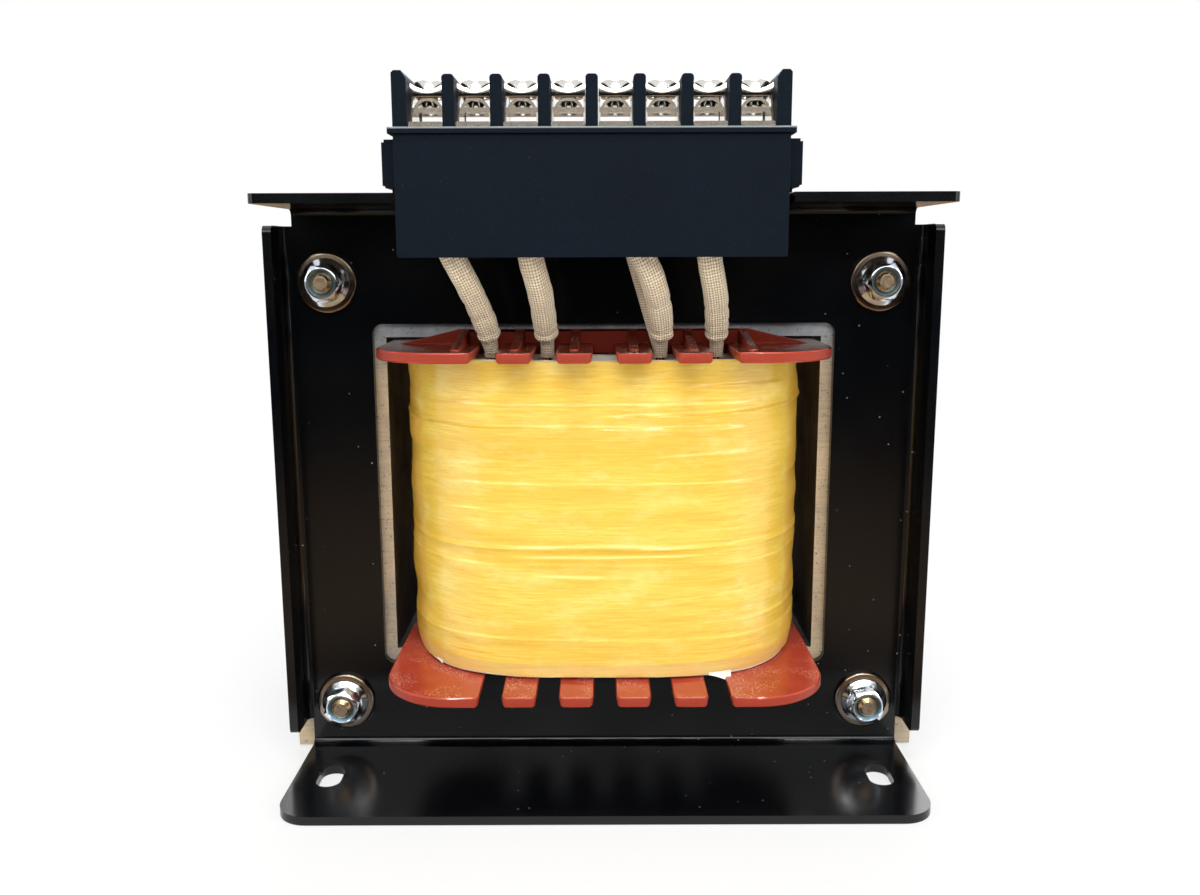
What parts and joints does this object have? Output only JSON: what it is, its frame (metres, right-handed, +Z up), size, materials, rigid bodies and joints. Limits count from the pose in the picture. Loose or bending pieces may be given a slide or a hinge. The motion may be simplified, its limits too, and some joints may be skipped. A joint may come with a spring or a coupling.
{
  "type": "laminated chassis transformer",
  "caption": "Chassis transformer: laminated core, taped coil on a comb-flanged bobbin, folded steel clamping brackets with slotted feet, and a barrier terminal block on top.",
  "frame": {"origin": "centre of the footprint, on the surface that the feet stand on", "axes": "+Z up; +X along the width, to the right seen from the terminals; -Y is the terminal side"},
  "size_m": [0.192, 0.187, 0.1963],
  "materials": {
    "bracket_paint": "gloss black stoving paint",
    "core_steel": "varnished electrical steel",
    "bobbin_plastic": "moulded brick-red thermoset",
    "copper_wire": "enamelled copper wire",
    "paper": "insulating paper",
    "tape": "yellow polyester tape",
    "glass_sleeve": "varnished glass braid",
    "terminal_plastic": "moulded phenolic, matt",
    "nickel_plate": "bright nickel plate",
    "bolt_sleeve": "pressed fibre tube",
    "yellow_zinc": "yellow passivated zinc",
    "washer_steel": "dull zinc",
    "bright_zinc": "bright zinc plate"
  },
  "bodies": {
    "root": {"front_bracket": "bracket_paint", "rear_bracket": "bracket_paint", "e_laminations": "core_steel", "i_laminations": "core_steel", "bobbin": "bobbin_plastic", "primary_winding": "copper_wire", "winding_paper": "paper", "secondary_winding": "copper_wire", "cover_paper": "paper", "coil_tape": "tape", "lead_wire_1": "copper_wire", "lead_wire_2": "copper_wire", "lead_wire_3": "copper_wire", "lead_wire_4": "copper_wire", "lead_sleeve_1": "glass_sleeve", "lead_sleeve_2": "glass_sleeve", "lead_sleeve_3": "glass_sleeve", "lead_sleeve_4": "glass_sleeve", "terminal_block": "terminal_plastic", "terminal_skirt": "terminal_plastic", "contact_1": "nickel_plate", "contact_2": "nickel_plate", "contact_3": "nickel_plate", "contact_4": "nickel_plate", "contact_5": "nickel_plate", "contact_6": "nickel_plate", "contact_7": "nickel_plate", "contact_8": "nickel_plate", "saddle_washers": "nickel_plate", "spring_washers": "bright_zinc", "terminal_screws": "bright_zinc", "block_screws": "bright_zinc", "through_bolts": "yellow_zinc", "rear_washers": "washer_steel", "front_washers": "washer_steel", "flange_nuts": "bright_zinc", "bolt_sleeves": "bolt_sleeve"}
  },
  "joints": []
}
